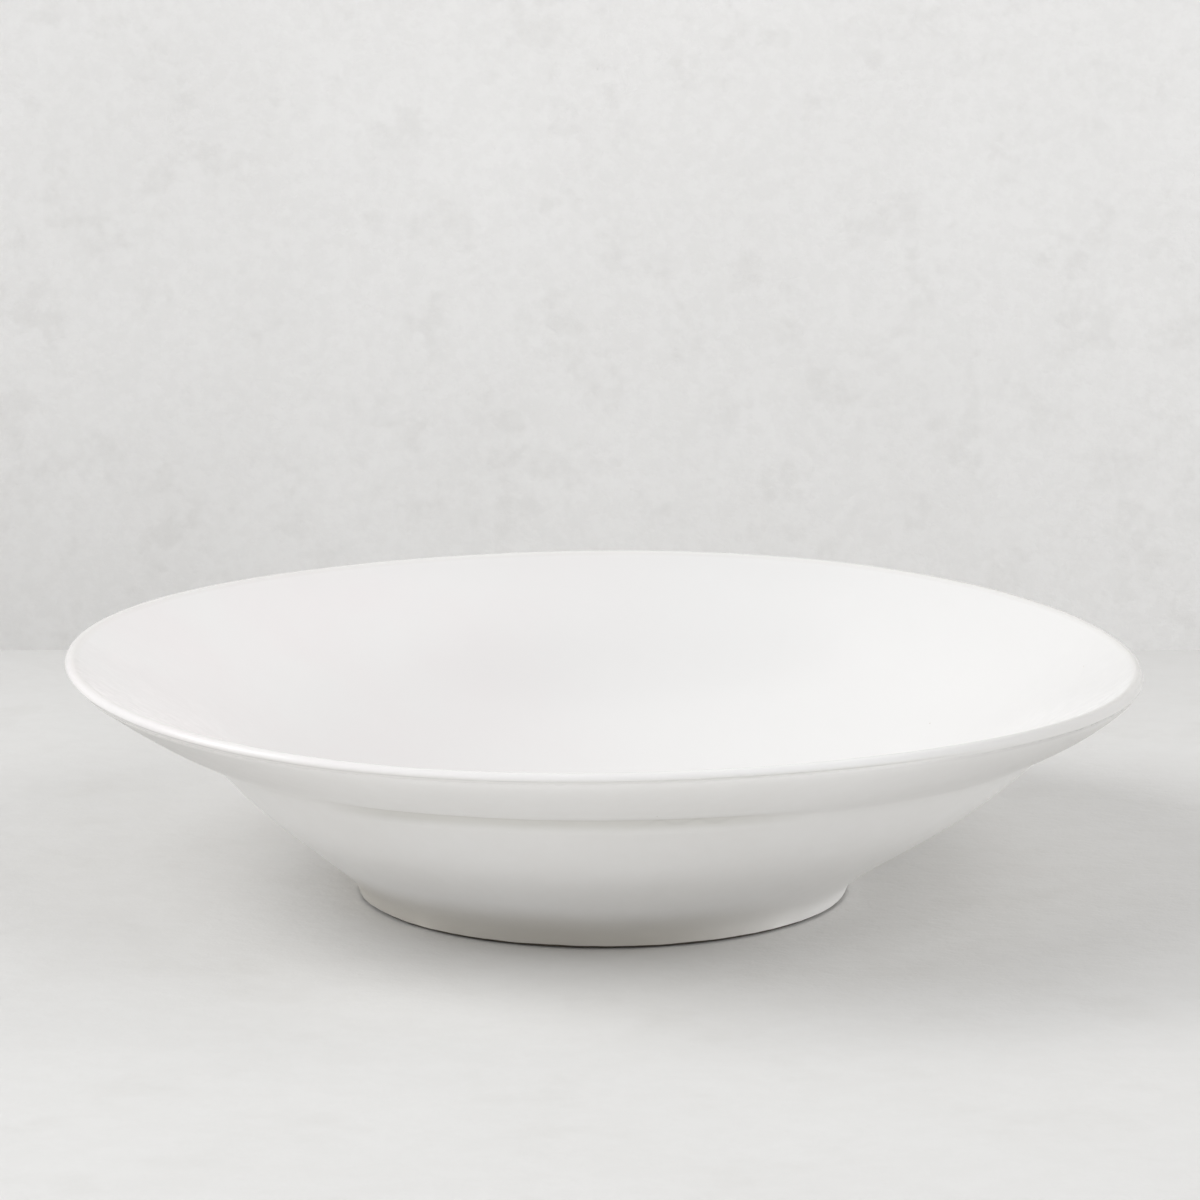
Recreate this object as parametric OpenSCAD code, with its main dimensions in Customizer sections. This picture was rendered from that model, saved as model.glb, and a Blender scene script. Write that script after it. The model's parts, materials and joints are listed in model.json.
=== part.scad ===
// A large white stoneware serving bowl: a pressed clay body with a creased wall and a wide flange,
// a foot ring luted under it, and the fired glaze that covers both down to the foot's ground edge.
// All sizes are millimetres. The table is z = 0, the middle of the foot is the origin,
// +X is the right-hand side and -Y is the front.

/* [Overall size] */
// Width across the lip, glaze included
rim_d = 356; // [330:1:390]
// Height of the lip above the table, glaze included
height = 80.2; // [72:0.1:95]

/* [Foot] */
// Width across the foot at the table, glaze included
foot_d = 161; // [140:1:180]
// Height of the foot ring, from the table to the underside of the body
foot_h = 6; // [4.5:0.1:8]
// Width of the flat land that touches the table
foot_land = 5; // [3:0.1:8]
// Chamfer on both edges of the land
foot_edge = 0.7; // [0.3:0.1:1]
// Lean of the foot's outside from upright, in degrees
foot_lean = 23; // [5:1:35]
// Lean of the foot's inside from upright, in degrees
foot_inner_lean = 20; // [0:1:30]

/* [Wall] */
// Thickness of the rounded lip, glaze included
lip_t = 4.8; // [4:0.1:7]
// Turn of the rounded lip under its outer edge, in degrees
lip_tuck = 25; // [0:1:35]
// Thickness of the clay wall at the crease
wall_t = 5.2; // [4:0.1:7.5]
// Thickness of the clay floor over the foot recess
floor_t = 6.6; // [5:0.1:9]
// Width of the level part of the floor
floor_d = 132; // [110:1:150]
// Depth that the floor dips by at its middle
floor_dip = 0.8; // [0:0.1:1.5]

/* [Crease] */
// Width across the crease where the belly meets the flange
crease_d = 282; // [268:1:292]
// Height of the crease above the table
crease_h = 51.1; // [47:0.1:55]
// Width of the ledge that the flange makes over the wall at the crease
crease_ledge = 2; // [0.5:0.1:3]
// Rise of the ledge, in degrees
ledge_rise = 10; // [0:1:20]

/* [Curves] */
// Rise of the wall where it leaves the foot, in degrees
wall_foot_rise = 57; // [50:1:68]
// Pull of that direction on the wall's curve
wall_foot_pull = 8; // [6:0.1:14]
// Rise of the wall where it meets the crease, in degrees
wall_crease_rise = 52; // [46:1:60]
// Pull of that direction on the wall's curve
wall_crease_pull = 16; // [12:0.5:22]
// Rise of the flange where it leaves the ledge, in degrees
flange_crease_rise = 26; // [20:1:32]
// Pull of that direction on the flange's curve
flange_crease_pull = 18; // [10:0.5:20]
// Rise of the flange where it meets the lip, in degrees
flange_lip_rise = 48; // [40:1:56]
// Pull of that direction on the flange's curve
flange_lip_pull = 5.5; // [3:0.5:13]
// Rise of the inside where it passes the crease, in degrees
knee_rise = 38; // [35:1:41]
// Pull of that direction on the inside above the crease
knee_up_pull = 14; // [9:0.5:17]
// Pull of that direction on the inside below the crease
knee_down_pull = 24; // [18:0.5:27]
// Pull of the level floor on the inside's curve
heel_pull = 24; // [18:0.5:28]

/* [Glaze] */
// Thickness of the fired glaze
glaze_t = 0.4; // [0.2:0.05:0.7]
// Height at which the glaze stops above the table
glaze_line = 1.3; // [1:0.1:2.5]

/* [Handmade shape] */
// Distance that the belly sits off the foot's middle at the crease
belly_shift = 9.6; // [0:0.1:11]
// Direction of that shift, in degrees from the right-hand side
belly_dir = 20; // [-180:1:180]
// Extra fullness of the belly on its full side
swell = 2.4; // [0:0.1:4]
// Direction of the belly's full side, in degrees
swell_dir = -15; // [-180:1:180]
// Height at which the belly is fullest there
swell_h = 27; // [25:0.5:32]
// Distance above and below that height over which the fullness fades
swell_reach = 16; // [10:0.5:16]
// Rise of the crease on its high side
crease_tilt = 5.1; // [0:0.1:6]
// Direction of the crease's high side, in degrees
crease_tilt_dir = -65; // [-180:1:180]
// Rise of the lip on its high side
rim_tilt = 1.1; // [0:0.1:4]
// Direction of the lip's high side, in degrees
rim_tilt_dir = 152; // [-180:1:180]
// Size of the lip's three height waves
rim_wave = 0.7; // [0:0.1:2]
// Direction of a crest of those waves, in degrees
rim_wave_dir = -56; // [-180:1:180]
// Size of the three lobes of the lip's outline
lobe_three = 0.8; // [0:0.1:2]
// Direction of one of the three lobes, in degrees
lobe_three_dir = -20; // [-180:1:180]
// Size of the four lobes of the lip's outline
lobe_four = 0.8; // [0:0.1:2]
// Direction of one of the four lobes, in degrees
lobe_four_dir = -28; // [-180:1:180]

/* [Hidden] */

// Flats around the bowl, and steps along each stretch of its profile
flats = 80;
wall_steps = 7;
flange_steps = 5;
lip_steps = 6;
inside_steps = 6;

// The flats lie on the true circle and the corners stand just outside it,
// so the flat-sided glaze clears the round foot ring inside it.
corner = 1 / cos(180 / flats);

// Radius left for the small flat that closes the floor at its middle
floor_eye = 14;

clay_colour = [0.80, 0.73, 0.63];
foot_colour = [0.76, 0.68, 0.57];
glaze_colour = [0.93, 0.93, 0.92];
base_colour = [0.89, 0.88, 0.86];

// Directions and curves in the profile plane, where a point is [radius, height]
function along(length, rise) = length * [cos(rise), sin(rise)];
function bezier(p, t) = (1 - t) ^ 3 * p[0] + 3 * (1 - t) ^ 2 * t * p[1]
    + 3 * (1 - t) * t ^ 2 * p[2] + t ^ 3 * p[3];
function curve(p, steps) = [for (i = [1 : steps]) bezier(p, i / steps)];
function unit(v) = v / norm(v);
function smooth(t) = t <= 0 ? 0 : t >= 1 ? 1 : t * t * (3 - 2 * t);
function reversed(list) = [for (i = [len(list) - 1 : -1 : 0]) list[i]];

// The bare foot ring's outside and inside at a height
foot_r = foot_d / 2 - glaze_t;
land_outer = foot_r - foot_edge;
land_inner = land_outer - foot_land;
function foot_outer(z) = foot_r + z * tan(foot_lean);
function foot_inner(z) = land_inner - foot_edge - z * tan(foot_inner_lean);

// The clay lip is the finished lip less the glaze around it.
lip_r = lip_t / 2 - glaze_t;
lip_mid = [rim_d / 2 - lip_t / 2, height - lip_t / 2];
lip_start = flange_lip_rise - 90 - lip_tuck;
lip_turn = 180 + lip_tuck;
lip_low = lip_mid + along(lip_r, lip_start);
lip_high = lip_mid + along(lip_r, lip_start + lip_turn);

// Outside of the clay: up from the foot, over the belly to the crease, across a narrow ledge
// and out along the flange to the lip, which turns a little under its outer edge
foot_top = [foot_outer(foot_h), foot_h];
crease = [crease_d / 2, crease_h];
ledge = crease + along(crease_ledge, ledge_rise);
outer_wall = [
    foot_top,
    foot_top + along(wall_foot_pull, wall_foot_rise),
    crease - along(wall_crease_pull, wall_crease_rise),
    crease,
];
outer_flange = [
    ledge,
    ledge + along(flange_crease_pull, flange_crease_rise),
    lip_low - along(flange_lip_pull, flange_lip_rise),
    lip_low,
];

// Inside of the clay: down the flange, past a soft knee over the crease, to the level floor
knee = crease + along(wall_t, knee_rise + 90);
floor_edge = [floor_d / 2, foot_h + floor_t];
inner_flange = [
    lip_high,
    lip_high - along(flange_lip_pull, flange_lip_rise),
    knee + along(knee_up_pull, knee_rise),
    knee,
];
inner_wall = [
    knee,
    knee - along(knee_down_pull, knee_rise),
    floor_edge + [heel_pull, 0],
    floor_edge,
];
lip_arc = [for (i = [1 : lip_steps]) lip_mid + along(lip_r, lip_start + lip_turn * i / lip_steps)];

clay_profile = concat(
    [foot_top],
    curve(outer_wall, wall_steps),
    [ledge],
    curve(outer_flange, flange_steps),
    lip_arc,
    curve(inner_flange, flange_steps),
    curve(inner_wall, inside_steps),
    [[floor_eye, floor_edge[1] - floor_dip]]
);

// The glaze follows the clay and goes on down the foot to the glaze line.
glazed_profile = concat([[foot_outer(glaze_line), glaze_line]], clay_profile);

// Direction out of the clay at one station of a profile
function heading(p, i) = let (last = len(p) - 1)
    i == 0 ? unit(p[1] - p[0])
    : i == last ? [-1, 0]
    : unit(unit(p[i + 1] - p[i]) + unit(p[i] - p[i - 1]));
function outward(p, i) = let (h = heading(p, i)) [h[1], -h[0]];
function coated(p) = [for (i = [0 : len(p) - 1]) p[i] + glaze_t * outward(p, i)];

// How far the belly's shift, the lip's waves and the belly's fullness are felt at a height
function up_flange(z) = (z - crease_h) / (lip_mid[1] - crease_h);
function belly_part(z) = z < crease_h ? smooth((z - foot_h) / (crease_h - foot_h)) : max(0, 1 - up_flange(z));
function rim_part(z) = smooth(up_flange(z));
function swell_part(z) = smooth(1 - abs(z - swell_h) / swell_reach);

// The handmade shape: where a profile point comes to lie at an angle around the bowl
function outline_wave(a) = lobe_three * cos(3 * (a - lobe_three_dir))
    + lobe_four * cos(4 * (a - lobe_four_dir));
function height_wave(a) = rim_tilt * cos(a - rim_tilt_dir)
    + rim_wave * cos(3 * (a - rim_wave_dir));
function fullness(a) = swell * max(0, cos(a - swell_dir)) ^ 2;
function placed(p, a) = let (
    belly = belly_part(p[1]),
    rim = rim_part(p[1]),
    r = p[0] * corner + rim * outline_wave(a) + swell_part(p[1]) * fullness(a),
    rise = belly * crease_tilt * cos(a - crease_tilt_dir) + rim * height_wave(a),
    shift = belly * along(belly_shift, belly_dir)
) [r * cos(a) + shift[0], r * sin(a) + shift[1], p[1] + rise];
function ring(p) = [for (i = [0 : flats - 1]) placed(p, 360 * i / flats)];

// A closed solid over a list of rings. The first bands split along the other diagonal,
// so that a list run backwards meets the same list run forwards face to face.
module skin(rings, backward_bands = 0) {
    bands = len(rings) - 1;
    points = [for (r = rings) each r];
    sides = [
        for (k = [0 : bands - 1])
            for (i = [0 : flats - 1])
                let (
                    j = (i + 1) % flats,
                    a = k * flats + i,
                    b = k * flats + j,
                    c = (k + 1) * flats + j,
                    d = (k + 1) * flats + i
                )
                each (k < backward_bands ? [[a, d, b], [d, c, b]] : [[a, d, c], [a, c, b]])
    ];
    first_cap = [for (i = [0 : flats - 1]) i];
    last_cap = [for (i = [flats - 1 : -1 : 0]) bands * flats + i];
    polyhedron(points = points, faces = concat([first_cap], sides, [last_cap]), convexity = 10);
}

// The fired clay shell, flat underneath where the foot ring and the base glaze meet it
module clay_body() {
    color(clay_colour)
    skin([for (p = clay_profile) ring(p)]);
}

// The luted ring that the bowl stands on, bare along its ground edge
module foot_ring() {
    color(foot_colour)
    rotate_extrude($fn = 180)
    polygon([
        [land_inner, 0],
        [land_outer, 0],
        [foot_outer(foot_edge), foot_edge],
        [foot_outer(foot_h), foot_h],
        [foot_inner(foot_h), foot_h],
        [foot_inner(foot_edge), foot_edge],
    ]);
}

// One coat of glass from the glaze line on the foot, over the lip, to the middle of the floor
module glaze_coat() {
    under = [for (p = glazed_profile) ring(p)];
    over = [for (p = coated(glazed_profile)) ring(p)];
    color(glaze_colour)
    skin(concat(reversed(under), over), backward_bands = len(under) - 1);
}

// The glaze in the recess under the bowl, down the foot ring's inside to the glaze line
module base_glaze() {
    side_t = glaze_t / cos(foot_inner_lean);
    ceiling = foot_h - glaze_t;
    color(base_colour)
    rotate_extrude($fn = 180)
    polygon([
        [0, ceiling],
        [foot_inner(ceiling) - side_t, ceiling],
        [foot_inner(glaze_line) - side_t, glaze_line],
        [foot_inner(glaze_line), glaze_line],
        [foot_inner(foot_h), foot_h],
        [0, foot_h],
    ]);
}

clay_body();
foot_ring();
glaze_coat();
base_glaze();
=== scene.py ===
# %% [markdown]
# A white serving bowl.
# This lesson dresses a wide stoneware serving bowl. The solid model already holds every size: the
# clay body, the foot ring under it, the coat of glaze over both and the glaze under the base.
# Blender adds what solids leave out: a smooth skin, the pressed line of the crease under the flange,
# the wandering edge of the glaze above the bare foot, and the look of fired glass over pale clay.

# %% Load the solid model
import json
import math

import bmesh
import bpy
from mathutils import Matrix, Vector, noise

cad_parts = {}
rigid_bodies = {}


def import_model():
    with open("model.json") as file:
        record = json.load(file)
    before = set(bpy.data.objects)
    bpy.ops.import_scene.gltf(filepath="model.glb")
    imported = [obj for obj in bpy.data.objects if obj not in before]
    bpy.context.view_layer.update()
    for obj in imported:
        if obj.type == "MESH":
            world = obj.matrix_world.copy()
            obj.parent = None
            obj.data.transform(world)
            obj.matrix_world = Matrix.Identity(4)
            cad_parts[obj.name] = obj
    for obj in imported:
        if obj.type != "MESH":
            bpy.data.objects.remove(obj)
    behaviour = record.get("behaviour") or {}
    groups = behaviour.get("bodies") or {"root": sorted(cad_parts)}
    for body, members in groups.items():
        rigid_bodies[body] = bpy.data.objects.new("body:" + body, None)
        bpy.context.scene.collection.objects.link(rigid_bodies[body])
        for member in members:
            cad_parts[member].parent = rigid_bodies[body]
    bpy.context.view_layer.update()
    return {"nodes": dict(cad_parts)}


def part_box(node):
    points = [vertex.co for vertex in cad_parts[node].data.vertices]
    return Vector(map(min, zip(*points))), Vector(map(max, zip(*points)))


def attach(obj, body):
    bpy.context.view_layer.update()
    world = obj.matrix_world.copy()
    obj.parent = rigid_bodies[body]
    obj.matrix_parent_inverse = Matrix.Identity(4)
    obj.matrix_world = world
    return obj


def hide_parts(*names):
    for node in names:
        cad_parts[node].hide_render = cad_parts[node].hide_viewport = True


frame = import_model()
MM = 0.001

# %% [markdown]
# The camera.
# The picture was taken with a long lens from a little above the table, so the round mouth shows as
# a flat oval and the far rim is hardly smaller than the near one. The camera is described the way a
# photographer would: how far it stands from the bowl, how high it looks down from, and where the
# middle of the bowl falls in the picture. A tilt of the whole camera does the framing, so the lens
# needs no shift.

# %% Place the camera
PICTURE_SIDE = 1200
LENS_IN_PIXELS = 5266
SENSOR_WIDTH = 36.0
AIM_POINT = Vector((0, 0, 40 * MM))
AIM_PIXEL = (602.7, 769.4)
CAMERA_DISTANCE = 1750 * MM
LOOK_DOWN = math.radians(13.07)

away = Vector((0, -math.cos(LOOK_DOWN), math.sin(LOOK_DOWN)))
below_middle = math.atan((AIM_PIXEL[1] - PICTURE_SIDE / 2) / LENS_IN_PIXELS)
right_of_middle = math.atan((AIM_PIXEL[0] - PICTURE_SIDE / 2) / LENS_IN_PIXELS)
camera_turn = (math.pi / 2 - LOOK_DOWN + below_middle, 0, right_of_middle)
bpy.ops.object.camera_add(location=AIM_POINT + away * CAMERA_DISTANCE, rotation=camera_turn)
camera = bpy.context.object
camera.data.sensor_width = SENSOR_WIDTH
camera.data.lens = LENS_IN_PIXELS * SENSOR_WIDTH / PICTURE_SIDE
bpy.context.scene.camera = camera
print("lens, in mm:", round(camera.data.lens, 1))

# %% [markdown]
# Shader sums.
# Finishes are easier to read as sums than as a web of nodes. This small class wraps one output of a
# node, so that adding, subtracting or multiplying two of them writes the Math node for us. Everything
# else comes from one method that takes a node's type, its settings and what goes into its sockets.

# %% A socket that can be used in sums
class Wire:
    def __init__(self, tree, socket=None):
        self.tree = tree
        self.socket = socket

    def feed(self, socket, value):
        if isinstance(value, Wire):
            self.tree.links.new(value.socket, socket)
        else:
            socket.default_value = value

    def node(self, kind, settings=None, output=0, **sockets):
        made = self.tree.nodes.new("ShaderNode" + kind)
        for name, value in (settings or {}).items():
            setattr(made, name, value)
        for name, value in sockets.items():
            place = int(name[1:]) if name[0] == "_" else name.replace("_", " ")
            self.feed(made.inputs[place], value)
        return Wire(self.tree, made.outputs[output])

    def maths(self, operation, first, second=0.0):
        return self.node("Math", {"operation": operation}, _0=first, _1=second)

    def __add__(self, other):
        return self.maths("ADD", self, other)

    def __sub__(self, other):
        return self.maths("SUBTRACT", self, other)

    def __rsub__(self, other):
        return self.maths("SUBTRACT", other, self)

    def __mul__(self, other):
        return self.maths("MULTIPLY", self, other)

    def __abs__(self):
        return self.maths("ABSOLUTE", self)

    __radd__ = __add__
    __rmul__ = __mul__


# %% [markdown]
# Helpers for every finish.
# A finish starts with a new material whose only nodes are the shader and the output. Positions come
# from Object coordinates, which are metres here, so a pattern's size is written as a real length.
# A fade turns a value into a mask that goes smoothly from nought to one between two limits, clouds
# are a noise pattern faded that way, and specks are the middles of a few chosen cells of a Voronoi
# pattern. A Mix node has sockets for several kinds of value, and its colours are inputs 6 and 7 and
# output 2.

# %% Start a finish
def new_finish(name):
    material = bpy.data.materials.new(name)
    material.use_nodes = True
    shader = material.node_tree.nodes["Principled BSDF"]
    return material, shader, Wire(material.node_tree)


def place_of(wire):
    return wire.node("TexCoord", output="Object")


def place_along(wire, axis):
    return wire.node("SeparateXYZ", output=axis, _0=place_of(wire))


def colour(red, green, blue):
    return (red, green, blue, 1.0)


def blend_colours(wire, mask, first, second):
    return wire.node("Mix", {"data_type": "RGBA"}, output=2, _0=mask, _6=first, _7=second)


def darken(wire, mask, tone, share):
    settings = {"data_type": "RGBA", "blend_type": "MULTIPLY"}
    return wire.node("Mix", settings, output=2, _0=mask, _6=tone, _7=share)


# %% Patterns for finishes
CLOUD_LIMITS = (0.3, 0.7)
SPECK_HEART = 0.5
CHOICE_EDGE = 0.9


def grain(wire, length, detail=2.0, roughness=0.5):
    return wire.node("TexNoise", Vector=place_of(wire), Scale=1 / length, Detail=detail,
                     Roughness=roughness)


def fade(wire, value, start, end):
    return wire.node("MapRange", {"interpolation_type": "SMOOTHSTEP"}, Value=value,
                     From_Min=start, From_Max=end)


def clouds(wire, length, detail):
    return fade(wire, grain(wire, length, detail), *CLOUD_LIMITS)


def specks(wire, spacing, size, share):
    cells = wire.node("TexVoronoi", output="Distance", Vector=place_of(wire), Scale=1 / spacing)
    lots = Wire(wire.tree, cells.socket.node.outputs["Color"])
    lot = wire.node("SeparateColor", Color=lots)
    dots = fade(wire, cells, size / spacing, SPECK_HEART * size / spacing)
    return dots * fade(wire, lot, share, CHOICE_EDGE * share)


def relief(wire, height, depth):
    return wire.node("Bump", Height=height, Strength=1.0, Distance=depth)


# %% [markdown]
# The stage.
# The bowl stands on a pale plaster board with a second board upright close behind it, which is what
# gives the picture its level line. The upright board has painted shade: it is painted a little darker
# towards its foot and its left, and that is multiplied over its blots so that they stay visible. Both
# boards are one-sided: from behind they are clear, so that the bowl can be looked at from the back
# and from below as well.
# Both are stage, not part of the bowl.

# %% Painted shade on the upright board
BOARD_PAINTED_SHADE = colour(0.84, 0.838, 0.836)
CORNER_LEFT = (20 * MM, -270 * MM)
CORNER_DOWN = (150 * MM, 0.0)
DOWN_SHARE = 0.38
LEFT_SHARE = 0.45
CORNER_SHARE = 0.17


# Painted shade: the upright board is darker towards its foot and its left.
def painted_shade_mask(wire):
    left = fade(wire, place_along(wire, "X"), *CORNER_LEFT)
    down = fade(wire, place_along(wire, "Z"), *CORNER_DOWN)
    return DOWN_SHARE * down + left * (LEFT_SHARE + CORNER_SHARE * down)


# %% Plaster for the stage
BROAD_SIZE = 90 * MM
BLOT_TIMES = 3
FINE_LIMITS = (0.35, 0.65)
BLOT_LIMITS = (0.53, 0.7)
BROAD_SHARE = 0.25
FINE_SHARE = 0.3
BLOT_SHARE = 0.45
PLASTER_RELIEF = 0.1 * MM
PLASTER_ROUGHNESS = 0.85


def clear_from_behind(material, shader, wire):
    back = wire.node("NewGeometry", output="Backfacing")
    clear = wire.node("BsdfTransparent")
    solid = Wire(wire.tree, shader.outputs[0])
    either = wire.node("MixShader", _0=back, _1=solid, _2=clear)
    wire.feed(material.node_tree.nodes["Material Output"].inputs["Surface"], either)


def plaster(name, pale, dark, mottle, upright):
    material, shader, wire = new_finish(name)
    broad = clouds(wire, BROAD_SIZE, detail=2.0)
    fine = fade(wire, grain(wire, mottle, detail=4.0, roughness=0.7), *FINE_LIMITS)
    blot = fade(wire, grain(wire, BLOT_TIMES * mottle, detail=3.0, roughness=0.6), *BLOT_LIMITS)
    mask = BROAD_SHARE * broad + FINE_SHARE * fine + BLOT_SHARE * blot
    tone = blend_colours(wire, mask, pale, dark)
    # The upright board's painted shade is multiplied over its tone here.
    if upright:
        tone = darken(wire, painted_shade_mask(wire), tone, BOARD_PAINTED_SHADE)
    wire.feed(shader.inputs["Base Color"], tone)
    wire.feed(shader.inputs["Normal"], relief(wire, fine, PLASTER_RELIEF))
    shader.inputs["Roughness"].default_value = PLASTER_ROUGHNESS
    clear_from_behind(material, shader, wire)
    return material


# %% Floor and backdrop
FLOOR_SIDE = 4.0
FLOOR_MOTTLE = 14 * MM
FLOOR_PALE = colour(0.705, 0.697, 0.682)
FLOOR_DARK = colour(0.665, 0.655, 0.636)
BOARD_DISTANCE = 386 * MM
BOARD_SIZE = (2.4, 1.6)
BOARD_MOTTLE = 6 * MM
BOARD_PALE = colour(0.94, 0.932, 0.92)
BOARD_DARK = colour(0.855, 0.845, 0.829)

bpy.ops.mesh.primitive_plane_add(size=FLOOR_SIDE)
floor = bpy.context.object
floor.name = "stage_floor"
floor.data.materials.append(plaster("floor_plaster", FLOOR_PALE, FLOOR_DARK, FLOOR_MOTTLE, False))
bpy.ops.mesh.primitive_plane_add(size=1)
board = bpy.context.object
board.name = "stage_board"
bpy.ops.transform.resize(value=(BOARD_SIZE[0], BOARD_SIZE[1], 1))
board.rotation_euler = (math.pi / 2, 0, 0)
board.location = (0, BOARD_DISTANCE, BOARD_SIZE[1] / 2)
bpy.ops.object.transform_apply(location=True, rotation=True, scale=True)
board.data.materials.append(plaster("board_plaster", BOARD_PALE, BOARD_DARK, BOARD_MOTTLE, True))
print("stage:", floor.name, board.name)

# %% [markdown]
# The light.
# A large soft window stands to the left. Pale cards to the right and in front throw some of it back,
# two of them low enough to reach under the flange, and a dim room fills the rest. A single small lamp
# would draw hard shadows under the flange, which this picture doesn't have. Each light is set the way
# a photographer would say it: how far round from the camera it stands, how high, and how large it is.
# Only one pane of the window may show as a reflection, because it alone draws a streak along the lip.
# All of it is a touch cool, so that the warm floor looks neutral in the open and warm in the shadow
# under the bowl, where light bounces twice.

# %% Window and cards
LIGHT_DISTANCE = 3.0
DAYLIGHT = (0.98, 0.988, 1.0)


def area_lamp(name, place, turn, watts):
    bpy.ops.object.light_add(type="AREA", location=place)
    lamp = bpy.context.object
    lamp.name = name
    lamp.rotation_euler = turn.to_euler()
    lamp.data.energy = watts
    lamp.data.color = DAYLIGHT
    print(name, "gives", watts, "W")
    return lamp


def soft_light(name, degrees_round, degrees_up, size, watts, reflected=False):
    turn = math.radians(degrees_round)
    climb = math.radians(degrees_up)
    reach = math.cos(climb)
    towards = Vector((math.sin(turn) * reach, -math.cos(turn) * reach, math.sin(climb)))
    place = AIM_POINT + LIGHT_DISTANCE * towards
    lamp = area_lamp(name, place, towards.to_track_quat("Z", "Y"), watts)
    lamp.data.shape = "DISK"
    lamp.data.size = size
    lamp.visible_glossy = reflected


soft_light("window", degrees_round=-90, degrees_up=36, size=2.2, watts=28)
soft_light("window_pane", degrees_round=-92, degrees_up=34, size=1.7, watts=20, reflected=True)
soft_light("left_card", degrees_round=-50, degrees_up=50, size=1.7, watts=16)
soft_light("right_card", degrees_round=98, degrees_up=18, size=1.7, watts=29)
soft_light("low_right_card", degrees_round=100, degrees_up=8, size=0.9, watts=10)
soft_light("front_card", degrees_round=45, degrees_up=40, size=1.7, watts=16)
soft_light("low_card", degrees_round=8, degrees_up=18, size=1.7, watts=6.5)

# %% [markdown]
# Light from below.
# Two more cards lie on the table and face up. The large one, in front of the bowl, stands for the
# pale table that a real bowl reflects light from, and lifts the belly and the flange. The small one
# lies under the bowl, inside the foot, so that the recess isn't black when it is looked at through
# the clear floor. Neither shows in the picture.

# %% Cards on the table
UP = Vector((0, 0, 1))


def table_card(name, place, size, watts):
    lamp = area_lamp(name, place, UP.to_track_quat("-Z", "Y"), watts)
    lamp.data.shape = "RECTANGLE"
    lamp.data.size, lamp.data.size_y = size
    lamp.visible_camera = False
    lamp.visible_glossy = False


table_card("lying_card", place=(-20 * MM, -620 * MM, 3 * MM), size=(450 * MM, 400 * MM), watts=1.3)
table_card("recess_light", place=(0, 0, 0.5 * MM), size=(120 * MM, 120 * MM), watts=0.012)

# %% [markdown]
# The room.
# The room is an even grey all round. The camera sees it paler than it lights, so that the back and
# side views end in a pale background without more light on the bowl.

# %% The room
ROOM_STRENGTH = 0.40
SEEN_STRENGTH = 0.78

room = bpy.data.worlds.new("room")
room.use_nodes = True
background = room.node_tree.nodes["Background"]
background.inputs["Color"].default_value = colour(*DAYLIGHT)
seen = Wire(room.node_tree).node("LightPath", output="Is Camera Ray")
seen.feed(background.inputs["Strength"], ROOM_STRENGTH + (SEEN_STRENGTH - ROOM_STRENGTH) * seen)
bpy.context.scene.world = room
bpy.context.scene.view_settings.view_transform = "Standard"
print("room strength:", ROOM_STRENGTH)

# %% [markdown]
# Working by hand in code.
# Blender's operators act on whatever is selected. So each step first lets go of everything, picks
# one piece, and then picks faces or edges by where they are and which way they look. A modifier is
# added and applied in one go, so that every piece ends as a plain mesh.

# %% Pick a piece and its faces
def take(piece, mode="OBJECT"):
    if bpy.context.object and bpy.context.object.mode != "OBJECT":
        bpy.ops.object.mode_set(mode="OBJECT")
    bpy.ops.object.select_all(action="DESELECT")
    piece.select_set(True)
    bpy.context.view_layer.objects.active = piece
    bpy.ops.object.mode_set(mode=mode)


def pick(piece, kind, wanted):
    bpy.ops.mesh.select_mode(type=kind)
    bpy.ops.mesh.select_all(action="DESELECT")
    cage = bmesh.from_edit_mesh(piece.data)
    parts = {"VERT": cage.verts, "EDGE": cage.edges, "FACE": cage.faces}[kind]
    chosen = [part for part in parts if wanted(part)]
    for part in chosen:
        part.select_set(True)
    bmesh.update_edit_mesh(piece.data)
    return len(chosen)


def harden(piece, modifier_type, **settings):
    take(piece)
    modifier = piece.modifiers.new(modifier_type.lower(), modifier_type)
    for name, value in settings.items():
        setattr(modifier, name, value)
    bpy.ops.object.modifier_apply(modifier=modifier.name)


def shade_smooth(piece, sharpest):
    take(piece)
    bpy.ops.object.shade_smooth_by_angle(angle=sharpest)
    print(piece.name, "faces:", len(piece.data.polygons))


# %% [markdown]
# The glaze skin.
# On the real bowl the glaze is one coat of glass, from just above the foot's edge, up over the wall
# and the lip, and down to the middle of the floor. A spun profile would be perfectly round, but this
# bowl isn't: its belly leans, its crease rises towards the front and its lip wanders. The solid
# model has that shape in flat facets, so a merged copy of its coat is the cage here, and a
# subdivision surface rounds it. Only the coat's outer face is kept, and it gets its thickness last.

# %% Copy the coat and keep its outer face
MERGE_DISTANCE = 0.01 * MM
EDGE_DEPTH = 0.3 * MM
LOOKS_DOWN = -0.7

coat_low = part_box("glaze_coat")[0]
edge_top = coat_low.z + EDGE_DEPTH


def closes_the_edge(face):
    return face.calc_center_median().z < edge_top and face.normal.z < LOOKS_DOWN


skin = bpy.data.objects.new("glaze_skin", frame["nodes"]["glaze_coat"].data.copy())
bpy.context.scene.collection.objects.link(skin)
take(skin, "EDIT")
bpy.ops.mesh.select_all(action="SELECT")
bpy.ops.mesh.remove_doubles(threshold=MERGE_DISTANCE)
bpy.ops.mesh.customdata_custom_splitnormals_clear()
pick(skin, "FACE", closes_the_edge)
bpy.ops.mesh.delete(type="FACE")
highest = max(vertex.co.z for vertex in bmesh.from_edit_mesh(skin.data).verts)
pick(skin, "VERT", lambda vertex: vertex.co.z == highest)
bpy.ops.mesh.select_linked()
bpy.ops.mesh.select_all(action="INVERT")
bpy.ops.mesh.delete(type="VERT")
print("faces of the outer coat:", len(bmesh.from_edit_mesh(skin.data).faces))

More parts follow.
